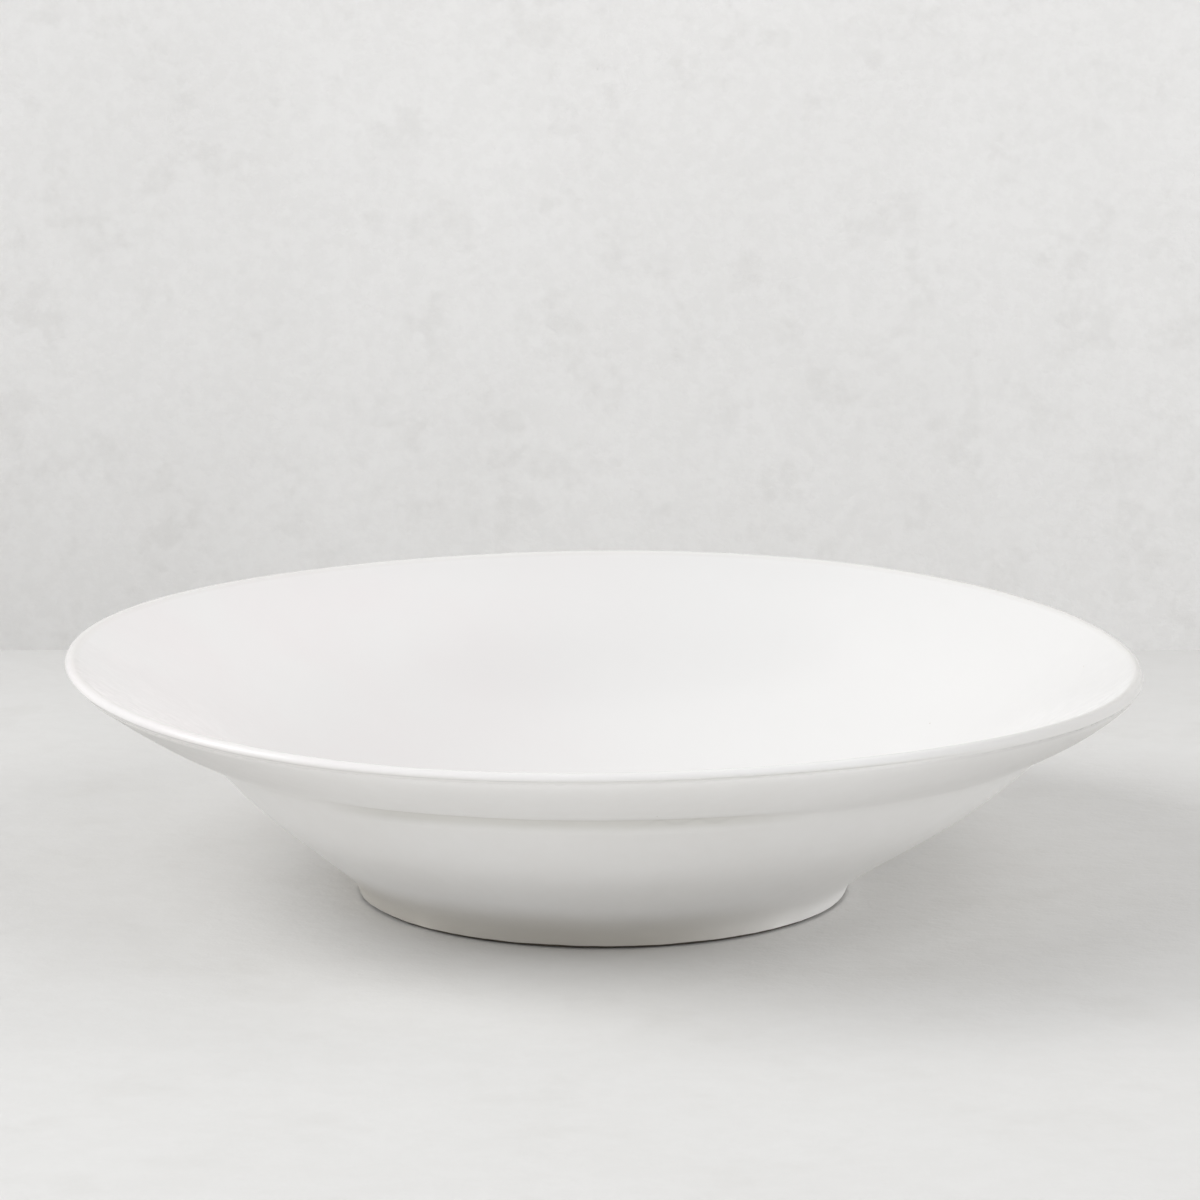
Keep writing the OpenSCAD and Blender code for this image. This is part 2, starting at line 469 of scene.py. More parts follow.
# %% [markdown]
# From triangles to a tidy cage.
# Smoothing likes four-sided faces in rings, and the copy is all triangles. The rings are found by
# walking from the open edge of the glaze: every point that touches the ring just walked belongs to
# the next one. Between two rings the shortest edge at each point runs along the profile and stays,
# and any longer one is a diagonal and goes. The solid closes the floor with one flat face of many
# corners, which becomes a fan, because a fan takes smoothing without a pinch.

# %% Walk the rings and drop the diagonals
FLOOR_EYE = 15 * MM


def walk_rings(cage):
    cage.verts.index_update()
    cage.edges.index_update()
    ring = [vertex for vertex in cage.verts if vertex.is_boundary]
    rings = []
    walked = set()
    while ring:
        rings.append(ring)
        walked.update(ring)
        reached = {edge.other_vert(vertex) for vertex in ring for edge in vertex.link_edges}
        ring = sorted(reached - walked, key=lambda vertex: vertex.index)
    return rings


def is_diagonal(edge):
    low, high = sorted(edge.verts, key=lambda vertex: level[vertex.index])
    if level[low.index] == level[high.index]:
        return False
    next_level = level[low.index] + 1
    climbs = [climb for climb in low.link_edges if level[climb.other_vert(low).index] == next_level]
    return edge.calc_length() > min(climb.calc_length() for climb in climbs)


pick(skin, "FACE", lambda face: face.calc_center_median().xy.length < FLOOR_EYE)
bpy.ops.mesh.dissolve_faces()
cage = bmesh.from_edit_mesh(skin.data)
rings = walk_rings(cage)
level = {vertex.index: step for step, ring in enumerate(rings) for vertex in ring}
pick(skin, "EDGE", is_diagonal)
bpy.ops.mesh.dissolve_edges(use_verts=False)
pick(skin, "FACE", lambda face: len(face.verts) > 4)
bpy.ops.mesh.poke()
print("rings:", len(rings), "faces in the cage:", len(bmesh.from_edit_mesh(skin.data).faces))

# %% [markdown]
# Room for two lines.
# Two fine lines run round the outside of the bowl: the crease, where the flange folds out of the
# wall, and the tuck, where the lip rolls under itself. On the cage each is one ring of edges that
# folds inwards. A two-step bevel turns such a ring into three, close together, so that smoothing
# keeps the line and there are points enough to press it in.

# %% Split the two folds
CREASE_ZONE = (40 * MM, 62 * MM)
TUCK_ZONE = (70 * MM, 79 * MM)
CREASE_SPREAD = 1.3 * MM
TUCK_SPREAD = 0.5 * MM


def height_of(ring):
    return sum(vertex.co.z for vertex in ring) / len(ring)


def edges_of(ring):
    members = set(ring)
    return [edge for vertex in ring for edge in vertex.link_edges if edge.other_vert(vertex) in members]


def fold_of(ring):
    return sum(edge.calc_face_angle_signed() for edge in edges_of(ring))


def split_fold(zone, spread):
    cage = bmesh.from_edit_mesh(skin.data)
    rings = walk_rings(cage)
    outside = rings[1:rings.index(max(rings, key=height_of))]
    deepest = min((ring for ring in outside if zone[0] < height_of(ring) < zone[1]), key=fold_of)
    height = height_of(deepest)
    wanted = {edge.index for edge in edges_of(deepest)}
    count = pick(skin, "EDGE", lambda edge: edge.index in wanted)
    bpy.ops.mesh.bevel(offset=spread, segments=2, affect="EDGES")
    print("edges split:", count, "at a mean height, in mm, of", round(height / MM, 1))
    return height


tuck_height = split_fold(TUCK_ZONE, TUCK_SPREAD)
crease_height = split_fold(CREASE_ZONE, CREASE_SPREAD)

# %% [markdown]
# A measuring tape along the profile.
# Later steps need to know how far a point lies along the bowl's profile, counted from the edge of
# the glaze over the lip to the floor's middle. The rings are walked again, and each ring stores the
# length walked so far as a vertex attribute. Smoothing carries the attribute along, and finishes can
# read it too. The places of the two lines and of the lip's top are read off the same tape.

# %% Lay the tape
cage = bmesh.from_edit_mesh(skin.data)
tape = cage.verts.layers.float.new("run")
run = 0.0
last_ring = set()
marks = []
for ring in walk_rings(cage):
    spokes = [(vertex, edge) for vertex in ring for edge in vertex.link_edges]
    climbs = [edge for vertex, edge in spokes if edge.other_vert(vertex) in last_ring]
    if climbs:
        run += sum(edge.calc_length() for edge in climbs) / len(climbs)
    for vertex in ring:
        vertex[tape] = run
    last_ring = set(ring)
    marks.append((run, height_of(ring)))
bmesh.update_edit_mesh(skin.data)
bpy.ops.object.mode_set(mode="OBJECT")
lip_run = max(marks, key=lambda mark: mark[1])[0]
crease_run = min(marks, key=lambda mark: abs(mark[1] - crease_height))[0]
tuck_run = min(marks, key=lambda mark: abs(mark[1] - tuck_height))[0]
print("tape, in mm:", [round(mark / MM, 1) for mark in (crease_run, tuck_run, lip_run, run)])

# %% [markdown]
# Smoothing and pressing.
# A subdivision surface now rounds the cage. Its points are weighed along the tape, heaviest on a
# line and fading to nothing beside it, and a Displace modifier pushes them along their normals by
# that weight. A potter's thumb works the same way: it sinks a line and raises a soft roll on either
# side of it. The crease is deepest at the front and nearly runs out elsewhere, where a Smooth
# modifier with the same kind of weight softens the fold. It wanders a little, because a hand drew it.

# %% Weigh points and press them
LEAST_WEIGHT = 0.01


def hump(distance, width):
    return math.exp(-(distance / width) ** 2)


def ease(value, start, end):
    share = min(max((value - start) / (end - start), 0.0), 1.0)
    return share * share * (3 - 2 * share)


def wander(angle, waves, seed):
    return noise.noise(Vector((waves * math.cos(angle), waves * math.sin(angle), seed)))


def turn_from(angle, middle):
    return abs(math.remainder(angle - middle, 2 * math.pi))


def weigh(piece, name, weight_of):
    lengths = piece.data.attributes["run"].data
    group = piece.vertex_groups.new(name=name)
    for vertex in piece.data.vertices:
        weight = weight_of(lengths[vertex.index].value, math.atan2(vertex.co.y, vertex.co.x))
        if weight > LEAST_WEIGHT:
            group.add([vertex.index], weight, "REPLACE")
    return name


def press(piece, name, weight_of, depth):
    harden(piece, "DISPLACE", vertex_group=weigh(piece, name, weight_of), strength=-depth, mid_level=0)


# %% Press in the crease
CREASE_DEPTH = 1.1 * MM
CREASE_WIDTH = 3.0 * MM
CREASE_WANDER = 0.8 * MM
CREASE_WAVES = 5.0
CREASE_SEED = 1.0
CREASE_MIDDLE = math.radians(-98)
CREASE_CLEAR = math.radians(21)
CREASE_GONE = math.radians(37)
CREASE_KEEP = 0.45
FAINT_REACH = 10 * MM
SMOOTH_FACTOR = 0.5
CAGE_PASSES = 25
FAINT_PASSES = 120
SKIN_LEVELS = 2
ROLL_HEIGHT = 0.3 * MM
ROLL_WIDTH = 2.2 * MM
ROLL_OFFSET = 4.2 * MM


def crease_strength(angle):
    return ease(turn_from(angle, CREASE_MIDDLE), CREASE_GONE, CREASE_CLEAR)


def faint_crease(run, angle):
    return (1 - CREASE_KEEP * crease_strength(angle)) * hump(run - crease_run, FAINT_REACH)


def crease_line(run, angle):
    off = run - crease_run - CREASE_WANDER * wander(angle, CREASE_WAVES, CREASE_SEED)
    return crease_strength(angle) * hump(off, CREASE_WIDTH)


def crease_rolls(run, angle):
    return crease_strength(angle) * hump(abs(run - crease_run) - ROLL_OFFSET, ROLL_WIDTH)


def soften(name, passes):
    fold = weigh(skin, name, faint_crease)
    harden(skin, "SMOOTH", factor=SMOOTH_FACTOR, iterations=passes, vertex_group=fold)


soften("fold", CAGE_PASSES)
harden(skin, "SUBSURF", levels=SKIN_LEVELS, render_levels=SKIN_LEVELS)
soften("faint", FAINT_PASSES)
press(skin, "crease", crease_line, CREASE_DEPTH)
press(skin, "rolls", crease_rolls, -ROLL_HEIGHT)
print("faces of the smooth skin:", len(skin.data.polygons))

# %% [markdown]
# The tuck and the thin lip.
# Under the lip the tuck is deepest at the front and runs out towards the right, where the lip is
# thinner and turns straight into the flange. Glaze pools in both lines, and the finish also paints
# shade there, so how deep each point lies in them is kept as a second attribute, pooled glaze and
# painted shade, which the finish reads later.

# %% Press in the tuck and thin the lip
TUCK_DEPTH = 1.0 * MM
TUCK_WIDTH = 1.2 * MM
TUCK_OFFSET = 1.3 * MM
TUCK_MIDDLE = math.radians(-82)
TUCK_SPAN = math.radians(25)
TUCK_CLEAR = math.radians(70)
TUCK_GONE = math.radians(30)
TUCK_KEEP = 0.5
TUCK_UNEVEN = 0.1
TUCK_WAVES = 6.0
TUCK_SEED = 9.0
TUCK_POOL_AND_SHADE = 0.5
THIN_LIP_MIDDLE = math.radians(-12)
THIN_LIP_SPAN = math.radians(42)
THIN_LIP_WIDTH = 2.6 * MM
THIN_LIP_BELOW = 4.0 * MM
THIN_LIP_DEPTH = 0.9 * MM


def tuck_line(run, angle):
    front = TUCK_KEEP + (1 - TUCK_KEEP) * hump(turn_from(angle, TUCK_MIDDLE), TUCK_SPAN)
    present = ease(turn_from(angle, 0.0), TUCK_GONE, TUCK_CLEAR)
    depth = front + TUCK_UNEVEN * wander(angle, TUCK_WAVES, TUCK_SEED)
    return present * depth * hump(run - tuck_run - TUCK_OFFSET, TUCK_WIDTH)


def thin_lip(run, angle):
    right = hump(turn_from(angle, THIN_LIP_MIDDLE), THIN_LIP_SPAN)
    return right * hump(run - lip_run + THIN_LIP_BELOW, THIN_LIP_WIDTH)


# The pool attribute marks pooled glaze and painted shade in the crease and the tuck.
def mark_pool_and_shade(piece):
    lengths = [length.value for length in piece.data.attributes["run"].data]
    pool_and_shade_data = piece.data.attributes.new("pool_and_shade", "FLOAT", "POINT").data
    for vertex in piece.data.vertices:
        place = (lengths[vertex.index], math.atan2(vertex.co.y, vertex.co.x))
        pool_and_shade_data[vertex.index].value = crease_line(*place) + TUCK_POOL_AND_SHADE * tuck_line(*place)


mark_pool_and_shade(skin)
press(skin, "tuck", tuck_line, TUCK_DEPTH)
press(skin, "thin_lip", thin_lip, THIN_LIP_DEPTH)
print("tuck pressed in, in mm:", TUCK_DEPTH / MM)

# %% [markdown]
# The front of the bowl.
# The flange is flattened at the front, and the belly below the crease is fuller there, so that both
# catch the same light. The same press does it, with wide humps in place of narrow ones.

# %% Flange and belly
FRONT_SPAN = math.radians(60)
FLANGE_RUN = 103 * MM
FLANGE_WIDTH = 15 * MM
FLANGE_FLATTEN = 0.8 * MM
BELLY_RUN = 50 * MM
BELLY_WIDTH = 16 * MM
BELLY_FULL = 1.7 * MM


def front_flange(run, angle):
    return hump(turn_from(angle, CREASE_MIDDLE), FRONT_SPAN) * hump(run - FLANGE_RUN, FLANGE_WIDTH)


def front_belly(run, angle):
    return hump(turn_from(angle, CREASE_MIDDLE), FRONT_SPAN) * hump(run - BELLY_RUN, BELLY_WIDTH)


press(skin, "flange", front_flange, FLANGE_FLATTEN)
press(skin, "belly", front_belly, -BELLY_FULL)
print("belly filled out, in mm:", BELLY_FULL / MM)

# %% [markdown]
# An uneven hand and the edge of the glaze.
# Glaze is poured, so its surface is never quite true: a Displace modifier with a cloud pattern moves
# it in and out by about a tenth of a millimetre, over patches the size of a thumb. Near the foot the
# coat ends in an edge that wanders up and down and is a touch thicker, because the running glaze
# stopped there.

# %% Uneven surface and edge
UNEVEN_PATCH = 28 * MM
UNEVEN_DEPTH = 0.22 * MM
EDGE_PATCH = 9 * MM
EDGE_WANDER = 0.4 * MM
EDGE_WIDTH = 1.6 * MM
EDGE_BEAD = 0.12 * MM


def cloud_pattern(name, patch):
    pattern = bpy.data.textures.new(name, "CLOUDS")
    pattern.noise_scale = patch
    return pattern


def glaze_edge(run, angle):
    return hump(run, EDGE_WIDTH)


harden(skin, "DISPLACE", texture=cloud_pattern("uneven", UNEVEN_PATCH), texture_coords="LOCAL",
       strength=UNEVEN_DEPTH)
harden(skin, "DISPLACE", texture=cloud_pattern("edge_wander", EDGE_PATCH), texture_coords="LOCAL",
       direction="Z", strength=EDGE_WANDER, vertex_group=weigh(skin, "edge", glaze_edge))
press(skin, "bead", glaze_edge, -EDGE_BEAD)
lowest = min(vertex.co.z for vertex in skin.data.vertices)
print("lowest point of the glaze, in mm:", round(lowest / MM, 2))

# %% [markdown]
# The clay under the glaze.
# The clay has the shape of the glaze's inner face, and with the lines pressed in, the solid's flat
# facets would poke through them. So the clay is a copy of the skin, shrunk by the thickness of the
# glaze. It ends where the foot ring begins, and a flat face closes it there. Then the skin itself
# gets its thickness, inwards, and both are shaded smooth.

# %% Clay shell and glaze thickness
GLAZE_THICKNESS = 0.4 * MM
CLAY_SLACK = 0.05 * MM
SKIN_SHARP = math.radians(50)

foot_low, foot_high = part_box("foot_ring")
clay = bpy.data.objects.new("clay_shell", skin.data.copy())
bpy.context.scene.collection.objects.link(clay)
take(clay, "EDIT")
bpy.ops.mesh.select_all(action="SELECT")
bpy.ops.transform.shrink_fatten(value=-GLAZE_THICKNESS - CLAY_SLACK)
bpy.ops.mesh.bisect(plane_co=foot_high, plane_no=(0, 0, 1), clear_inner=True, use_fill=True)
bpy.ops.object.mode_set(mode="OBJECT")
harden(skin, "SOLIDIFY", thickness=GLAZE_THICKNESS, offset=-1)
shade_smooth(skin, SKIN_SHARP)
shade_smooth(clay, SKIN_SHARP)

# %% [markdown]
# The bare foot.
# The foot is a ring of clay that was rolled, joined under the bowl and trimmed. Glaze would stick it
# to the kiln shelf, so it was wiped off, and the ring shows as a thin line of bare clay where the bowl
# meets the table. It is modelled as by hand: a circle is extruded ring by ring round the section, the
# last ring is bridged to the first, and the lower edges are rounded. The radii are measured on the
# solid, level by level.

# %% Measure the ring and extrude its section
FOOT_SIDES = 160
LEVEL_STEP = 0.05 * MM


def levels_of(node):
    levels = {}
    for vertex in frame["nodes"][node].data.vertices:
        levels.setdefault(round(vertex.co.z / LEVEL_STEP), []).append(vertex.co.xy.length)
    return {step * LEVEL_STEP: (min(radii), max(radii)) for step, radii in sorted(levels.items())}


def extrude_rings(section):
    for (radius, height), (next_radius, next_height) in zip(section, section[1:]):
        growth = next_radius / radius
        bpy.ops.mesh.extrude_region_move()
        bpy.ops.transform.resize(value=(growth, growth, 1))
        bpy.ops.transform.translate(value=(0, 0, next_height - height))


foot_levels = levels_of("foot_ring")
outer_side = [(radii[1], height) for height, radii in foot_levels.items()]
inner_side = [(radii[0], height) for height, radii in reversed(foot_levels.items())]
section = outer_side + inner_side
ground_radius, ground_height = section[0]
bpy.ops.object.select_all(action="DESELECT")
bpy.ops.mesh.primitive_circle_add(vertices=FOOT_SIDES, radius=ground_radius)
foot = bpy.context.object
foot.name = "bare_foot"
take(foot, "EDIT")
bpy.ops.mesh.select_all(action="SELECT")
bpy.ops.transform.translate(value=(0, 0, ground_height))
extrude_rings(section)
section_in_mm = [(round(radius / MM, 2), round(height / MM, 2)) for radius, height in section]
print("rings round the foot's section, in mm:", section_in_mm)

# %% Close the ring and round its edges
FOOT_ROUNDING = 0.6 * MM
FOOT_SHARP = math.radians(30)
SHARP_FOLD = 0.3

half_height = (foot_low.z + foot_high.z) / 2


def is_lower_edge(edge):
    is_low = all(vertex.co.z < half_height for vertex in edge.verts)
    return is_low and edge.calc_face_angle() > SHARP_FOLD


pick(foot, "EDGE", lambda edge: edge.is_boundary)
bpy.ops.mesh.bridge_edge_loops()
bpy.ops.mesh.select_all(action="SELECT")
bpy.ops.mesh.normals_make_consistent(inside=False)
pick(foot, "EDGE", is_lower_edge)
bpy.ops.mesh.bevel(offset=FOOT_ROUNDING, segments=3, affect="EDGES")
shade_smooth(foot, FOOT_SHARP)

# %% [markdown]
# The glaze under the base.
# Inside the foot ring the underside is glazed too, so the bowl can be washed. It is a shallow dish
# seen from below: a round face is inset a few times towards its middle, its edge is extruded down
# the inside of the foot, and the corner between the two is rounded the way glaze pools in it. It is
# thickened towards the clay at the end. The solid's lowest level is the edge of this skirt, its
# highest is the face against the clay, and the one next to that is the face of the dish.

# %% Dish and skirt
BASE_SIDES = 120
BASE_RINGS = 7

base_levels = levels_of("base_glaze")
skirt_height = min(base_levels)
ceiling_height = sorted(base_levels)[-2]
ceiling_radius = base_levels[ceiling_height][1]
skirt_radius = base_levels[skirt_height][0]
bpy.ops.object.select_all(action="DESELECT")
bpy.ops.mesh.primitive_circle_add(vertices=BASE_SIDES, radius=ceiling_radius, fill_type="NGON")
base = bpy.context.object
base.name = "base_glaze_skin"
take(base, "EDIT")
bpy.ops.mesh.select_all(action="SELECT")
bpy.ops.transform.translate(value=(0, 0, ceiling_height))
for step in range(BASE_RINGS):
    bpy.ops.mesh.inset(thickness=ceiling_radius / (BASE_RINGS + 1))
bpy.ops.mesh.poke()
pick(base, "EDGE", lambda edge: edge.is_boundary)
extrude_rings([(ceiling_radius, ceiling_height), (skirt_radius, skirt_height)])
print("dish and skirt, in mm:", round(ceiling_radius / MM, 2), round(skirt_radius / MM, 2))

# %% Round the corner and thicken
POOL_RADIUS = 2.0 * MM
BASE_UNEVEN = 0.12 * MM


def in_corner(edge):
    on_ceiling = all(abs(vertex.co.z - ceiling_height) < LEVEL_STEP for vertex in edge.verts)
    return on_ceiling and edge.calc_face_angle(0) > SHARP_FOLD


pick(base, "EDGE", in_corner)
bpy.ops.mesh.bevel(offset=POOL_RADIUS, segments=5, affect="EDGES")
bpy.ops.mesh.select_all(action="SELECT")
bpy.ops.mesh.normals_make_consistent(inside=True)
bpy.ops.object.mode_set(mode="OBJECT")
harden(base, "DISPLACE", texture=cloud_pattern("base_uneven", UNEVEN_PATCH), texture_coords="LOCAL",
       strength=BASE_UNEVEN, mid_level=0)
harden(base, "SOLIDIFY", thickness=GLAZE_THICKNESS, offset=-1)
shade_smooth(base, SKIN_SHARP)

# %% [markdown]
# Where the glaze changes tone.
# Fired glaze is a thin glass with a white body in it, and it isn't the same all over. Two attributes,
# the tape and the pools with their painted shade, and the place across the bowl say where it changes.
# Masks keep the finish readable: one for painted shade on the lip's outer face on the right and on the
# flange under the lip, where the glaze is painted greyer, and one for two fine wavy darker lines that
# cross in the crease.

# %% Masks of the painted lip shade and the strands
RIM_RIGHT = (70 * MM, 150 * MM)
RIM_LEFT = (-60 * MM, -165 * MM)
BELOW_TUCK = 2 * MM
ABOVE_TUCK = 1 * MM
LIP_BLUR = 1 * MM
UNDER_LIP_RISE = 20 * MM
UNDER_LIP_RIGHT = 0.4
STRAND_MIDDLE = math.radians(-79)
STRAND_CLEAR = math.radians(4)
STRAND_GONE = math.radians(7)
STRAND_WAVES = 37.0
STRAND_SWING = 1.0 * MM
STRAND_WIDTH = 0.7 * MM


# Painted shade on the lip's outer face on the right and on the flange under the lip.
def painted_lip_shade_mask(wire, along, sideways):
    right = fade(wire, sideways, *RIM_RIGHT)
    left = fade(wire, sideways, *RIM_LEFT)
    over_tuck = fade(wire, along, tuck_run - BELOW_TUCK, tuck_run + ABOVE_TUCK)
    lip_face = over_tuck * fade(wire, along, lip_run + LIP_BLUR, lip_run - LIP_BLUR)
    under_tuck = fade(wire, along, tuck_run + ABOVE_TUCK, tuck_run - BELOW_TUCK)
    under_lip = fade(wire, along, crease_run, crease_run + UNDER_LIP_RISE) * under_tuck
    return right * lip_face + (UNDER_LIP_RIGHT * right + left) * under_lip


def strand_mask(wire, along, sideways):
    turned = wire.maths("ARCTAN2", place_along(wire, "Y"), sideways)
    swing = STRAND_SWING * wire.maths("SINE", STRAND_WAVES * turned)
    above = fade(wire, abs(along - crease_run - swing), STRAND_WIDTH, 0.0)
    below = fade(wire, abs(along - crease_run + swing), STRAND_WIDTH, 0.0)
    return (above + below) * fade(wire, abs(turned - STRAND_MIDDLE), STRAND_GONE, STRAND_CLEAR)


# %% [markdown]
# The white glaze.
# Where the glaze pools in the two lines it is painted a little greyer, partly as pooled glaze and
# partly as painted shade in the crease and the tuck. At the lip, and towards the foot on the front and
# the left, it is painted darker and warmer, partly as thin glaze over the buff clay and partly as
# painted shade. Inside, the coat is glossier and painted a little greyer than the outside, a painted
# shade, with a faint warm blush on the left, while the outside is satin. Slow clouds of cream, a very
# fine orange-peel relief and a few pinholes keep it from looking like plastic. Each change of tone is
# one blend over the last, and its share says how strong it is.

# %% Glaze colours and how much of each
GLAZE_WHITE = colour(0.92, 0.913, 0.90)
GLAZE_CREAM = colour(0.898, 0.888, 0.87)
# The inside, pooled, lip-shade and thin colours are painted shade; the pooled and thin ones are partly
# real glaze.
GLAZE_INSIDE_SHADE = colour(0.815, 0.805, 0.792)
GLAZE_POOL_AND_SHADE = colour(0.76, 0.75, 0.715)
GLAZE_BLUSH = colour(0.812, 0.778, 0.77)
GLAZE_PAINTED_LIP_SHADE = colour(0.645, 0.632, 0.615)
GLAZE_THIN_AND_SHADE = colour(0.60, 0.562, 0.49)
GLAZE_STRAND = colour(0.6, 0.59, 0.56)
PIT_COLOUR = colour(0.45, 0.40, 0.33)
CREAM_SHARE = 0.7
MOTTLE_SHARE = 0.3
BLUSH_SHARE = 0.25
BLUSH_CLOUDS = 0.7
STRAND_SHARE = 0.22
LOW_SHARE = 0.75
LIP_SHARE = 0.18
PIT_DARKNESS = 0.8

# %% Where each colour lies, and the surface
CREAM_PATCH = 55 * MM
MOTTLE_PATCH = 5 * MM
INSIDE_BEFORE = 1 * MM
INSIDE_AFTER = 2 * MM
LOW_RUN = (24 * MM, 1 * MM)
LOW_WANDER = 3 * MM
LOW_ACROSS = (85 * MM, 10 * MM)
BLUSH_ACROSS = (60 * MM, -110 * MM)
LIP_TOP_REACH = 2.2 * MM
PIT_SPACING = 16 * MM
PIT_SIZE = 0.35 * MM
PIT_SHARE = 0.12
PIT_ROUGHNESS = 0.3
SATIN_ROUGHNESS = 0.3
INSIDE_GLOSS = 0.13
MOTTLE_ROUGHNESS = 0.05
PEEL_SIZE = 2.2 * MM
PEEL_DEPTH = 0.015 * MM
PIT_DEPTH = 6.0


# %% Glaze finish
def white_glaze(name):
    material, shader, wire = new_finish(name)
    along = wire.node("Attribute", {"attribute_name": "run"}, output="Fac")
    pool_and_shade = wire.node("Attribute", {"attribute_name": "pool_and_shade"}, output="Fac")
    sideways = place_along(wire, "X")
    cloud = clouds(wire, CREAM_PATCH, detail=3.0)
    mottle = clouds(wire, MOTTLE_PATCH, detail=3.0)
    inside = fade(wire, along, tuck_run - INSIDE_BEFORE, tuck_run + INSIDE_AFTER)
    # Painted shade towards the foot on the front and the left, partly thin glaze over the clay.
    low = fade(wire, along + LOW_WANDER * cloud, *LOW_RUN) * fade(wire, sideways, *LOW_ACROSS)
    blush = inside * fade(wire, sideways, *BLUSH_ACROSS) * (BLUSH_SHARE + BLUSH_CLOUDS * cloud)
    lip_top = fade(wire, abs(along - lip_run), LIP_TOP_REACH, 0.0)
    lip_shade = painted_lip_shade_mask(wire, along, sideways)
    strands = strand_mask(wire, along, sideways)
    pits = specks(wire, PIT_SPACING, PIT_SIZE, PIT_SHARE)
    cream = CREAM_SHARE * cloud + MOTTLE_SHARE * mottle
    thin_and_shade = LOW_SHARE * low + LIP_SHARE * lip_top
    white = blend_colours(wire, cream, GLAZE_WHITE, GLAZE_CREAM)
    # Painted shade: the inside is painted greyer than the outside.
    white = blend_colours(wire, inside, white, GLAZE_INSIDE_SHADE)
    white = blend_colours(wire, blush, white, GLAZE_BLUSH)
    # Painted shade: the lip's outer face on the right and the flange under the lip turn greyer.
    white = blend_colours(wire, lip_shade, white, GLAZE_PAINTED_LIP_SHADE)
    # Pooled glaze and painted shade: greyer in the crease and the tuck.
    white = blend_colours(wire, pool_and_shade, white, GLAZE_POOL_AND_SHADE)
    white = blend_colours(wire, STRAND_SHARE * strands, white, GLAZE_STRAND)
    # Painted shade at the lip and towards the foot, partly thin glaze over the buff clay.
    white = blend_colours(wire, thin_and_shade, white, GLAZE_THIN_AND_SHADE)
    white = blend_colours(wire, PIT_DARKNESS * pits, white, PIT_COLOUR)
    sheen = SATIN_ROUGHNESS - INSIDE_GLOSS * inside + MOTTLE_ROUGHNESS * mottle
    peel = grain(wire, PEEL_SIZE, detail=1.0) - PIT_DEPTH * pits
    wire.feed(shader.inputs["Base Color"], white)
    wire.feed(shader.inputs["Roughness"], sheen + PIT_ROUGHNESS * pits)
    wire.feed(shader.inputs["Normal"], relief(wire, peel, PEEL_DEPTH))
    return material


skin.data.materials.clear()
skin.data.materials.append(white_glaze("glaze_white"))
print("finish:", skin.data.materials[0].name)

# %% [markdown]
# Bare clay.
# The clay body is a pale buff stoneware with fine dark grog. The foot has the same clay, rubbed
# smooth, with faint turning marks that run round it: a wave along the distance from the bowl's axis.
# Its outer edge is painted dark as painted shadow, the contact shadow that draws the nearly black line
# between the bowl and the table.

# %% Clay finishes
CLAY_PALE = colour(0.50, 0.41, 0.29)
CLAY_DARK = colour(0.40, 0.325, 0.225)
GROG_COLOUR = colour(0.2, 0.16, 0.12)
# Painted shadow colour for the foot's outer edge.
CONTACT_SHADOW_COLOUR = colour(0.10, 0.088, 0.072)
CONTACT_SHADOW_WIDTH = 1.9 * MM
CLAY_PATCH = 12 * MM
GROG_SPACING = 2.4 * MM
GROG_SIZE = 0.5 * MM
GROG_SHARE = 0.3
GROG_DARKNESS = 0.7
GROG_HEIGHT = 0.5
TURNING_STEP = 0.9 * MM
TURNING_PATCH = 20 * MM
TURNING_WANDER = 3.0
SAND_SIZE = 0.8 * MM
CLAY_UNEVEN = 0.1
CLAY_RELIEF = 0.06 * MM


def bare_clay(name, roughness, turning, contact_shadow):
    material, shader, wire = new_finish(name)
    flat_place = wire.node("VectorMath", {"operation": "MULTIPLY"}, _0=place_of(wire), _1=(1, 1, 0))
    from_axis = wire.node("VectorMath", {"operation": "LENGTH"}, output="Value", _0=flat_place)
    wobble = TURNING_WANDER * grain(wire, TURNING_PATCH)
    rounds = wire.maths("SINE", from_axis * (2 * math.pi / TURNING_STEP) + wobble)
    cloud = clouds(wire, CLAY_PATCH, detail=4.0)
    grog = specks(wire, GROG_SPACING, GROG_SIZE, GROG_SHARE)
    body = blend_colours(wire, cloud, CLAY_PALE, CLAY_DARK)
    body = blend_colours(wire, GROG_DARKNESS * grog, body, GROG_COLOUR)
    # Painted shadow: the foot's outer edge is darkened where it meets the table.
    edge = contact_shadow * fade(wire, from_axis, ground_radius - CONTACT_SHADOW_WIDTH, ground_radius)
    wire.feed(shader.inputs["Base Color"], blend_colours(wire, edge, body, CONTACT_SHADOW_COLOUR))
    wire.feed(shader.inputs["Roughness"], roughness + CLAY_UNEVEN * cloud)
    height = grain(wire, SAND_SIZE, detail=3.0) + turning * rounds + GROG_HEIGHT * grog
    wire.feed(shader.inputs["Normal"], relief(wire, height, CLAY_RELIEF))
    return material


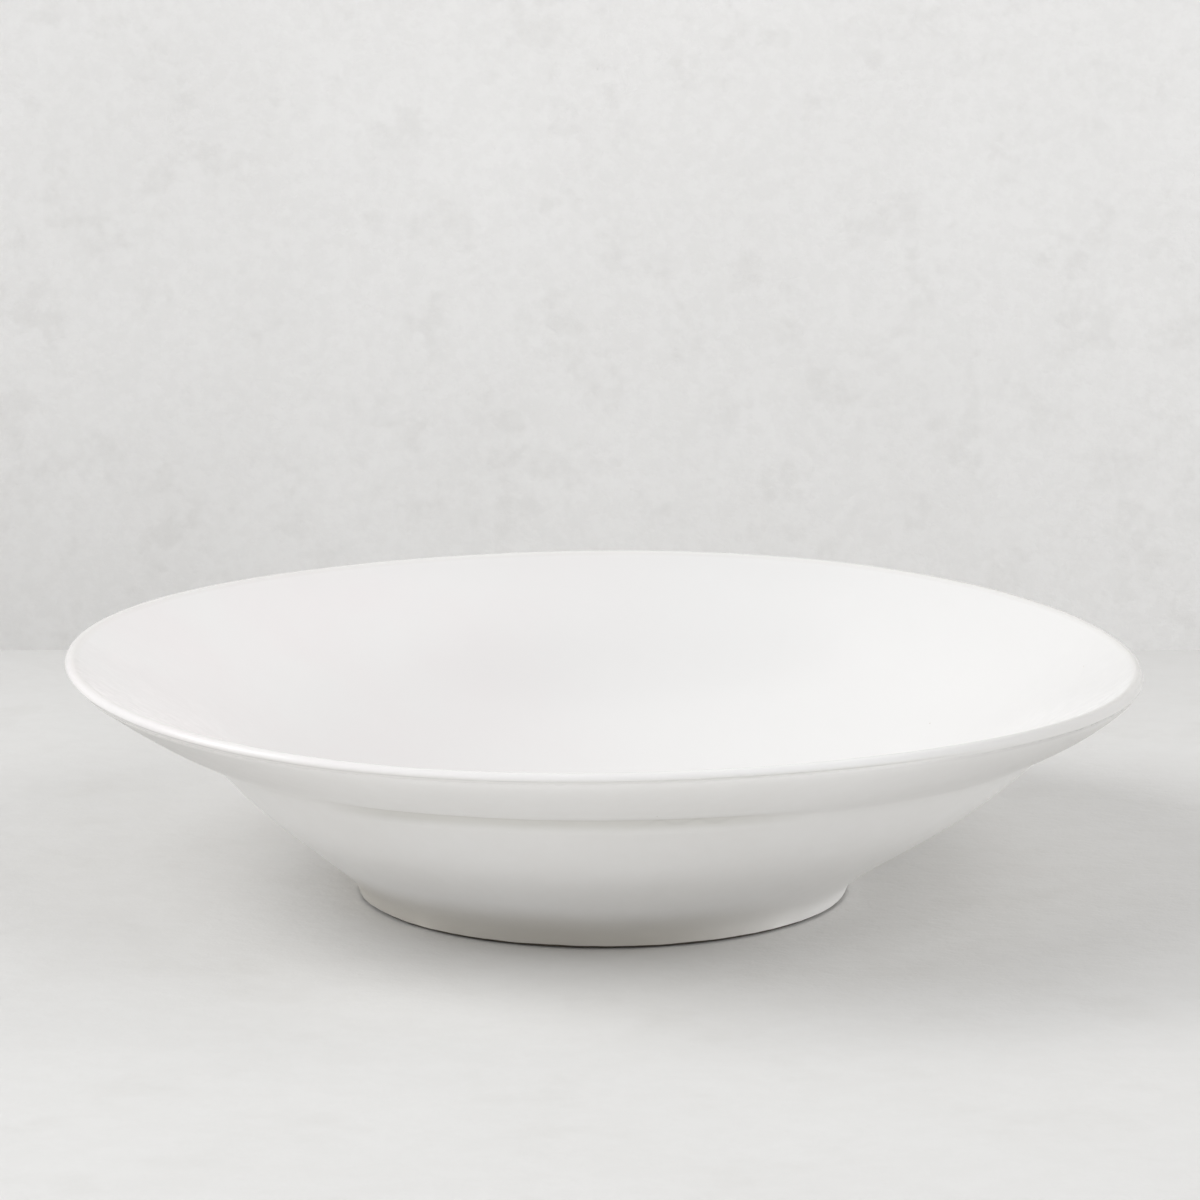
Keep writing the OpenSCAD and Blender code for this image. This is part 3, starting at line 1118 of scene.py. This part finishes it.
clay.data.materials.clear()
clay.data.materials.append(bare_clay("clay_buff", roughness=0.8, turning=0.0, contact_shadow=0.0))
foot.data.materials.append(bare_clay("clay_foot", roughness=0.65, turning=0.4, contact_shadow=0.9))
print("finishes:", clay.data.materials[0].name, foot.data.materials[0].name)

# %% [markdown]
# The thin glaze of the base.
# The glaze under the base is the same white, a little thinner, so more of the clay warms it, and it
# has more pinholes. It needs neither the tape nor the pooled glaze and painted shade, so its finish
# is short.

# %% Base glaze finish
BASE_WHITE = colour(0.86, 0.85, 0.825)
BASE_CREAM = colour(0.80, 0.78, 0.73)
BASE_PATCH = 30 * MM
BASE_PIT_SPACING = 9 * MM
BASE_PIT_SIZE = 0.4 * MM
BASE_PIT_SHARE = 0.3
BASE_PIT_DEPTH = 4.0
BASE_PIT_DARKNESS = 0.7
BASE_ROUGHNESS = 0.25
BASE_CLOUD_ROUGHNESS = 0.1
BASE_PEEL_SIZE = 3 * MM
BASE_PEEL_DEPTH = 0.02 * MM


def thin_glaze(name):
    material, shader, wire = new_finish(name)
    cloud = clouds(wire, BASE_PATCH, detail=4.0)
    pits = specks(wire, BASE_PIT_SPACING, BASE_PIT_SIZE, BASE_PIT_SHARE)
    white = blend_colours(wire, cloud, BASE_WHITE, BASE_CREAM)
    white = blend_colours(wire, BASE_PIT_DARKNESS * pits, white, PIT_COLOUR)
    sheen = BASE_ROUGHNESS + BASE_CLOUD_ROUGHNESS * cloud + PIT_ROUGHNESS * pits
    height = grain(wire, BASE_PEEL_SIZE) - BASE_PIT_DEPTH * pits
    wire.feed(shader.inputs["Base Color"], white)
    wire.feed(shader.inputs["Roughness"], sheen)
    wire.feed(shader.inputs["Normal"], relief(wire, height, BASE_PEEL_DEPTH))
    return material


base.data.materials.append(thin_glaze("glaze_thin"))
print("finish:", base.data.materials[0].name)

# %% [markdown]
# Put the pieces on the bowl.
# Every piece rides on the one body that this bowl has and stands for the solid of the same part,
# which is hidden.

# %% Ride and replace
for piece, node, slot in (
    (skin, "glaze_coat", "white_glaze"),
    (clay, "clay_body", "stoneware"),
    (foot, "foot_ring", "bare_foot"),
    (base, "base_glaze", "base_glaze"),
):
    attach(piece, "root")
    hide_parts(node)
    print(piece.name, "stands for", node)
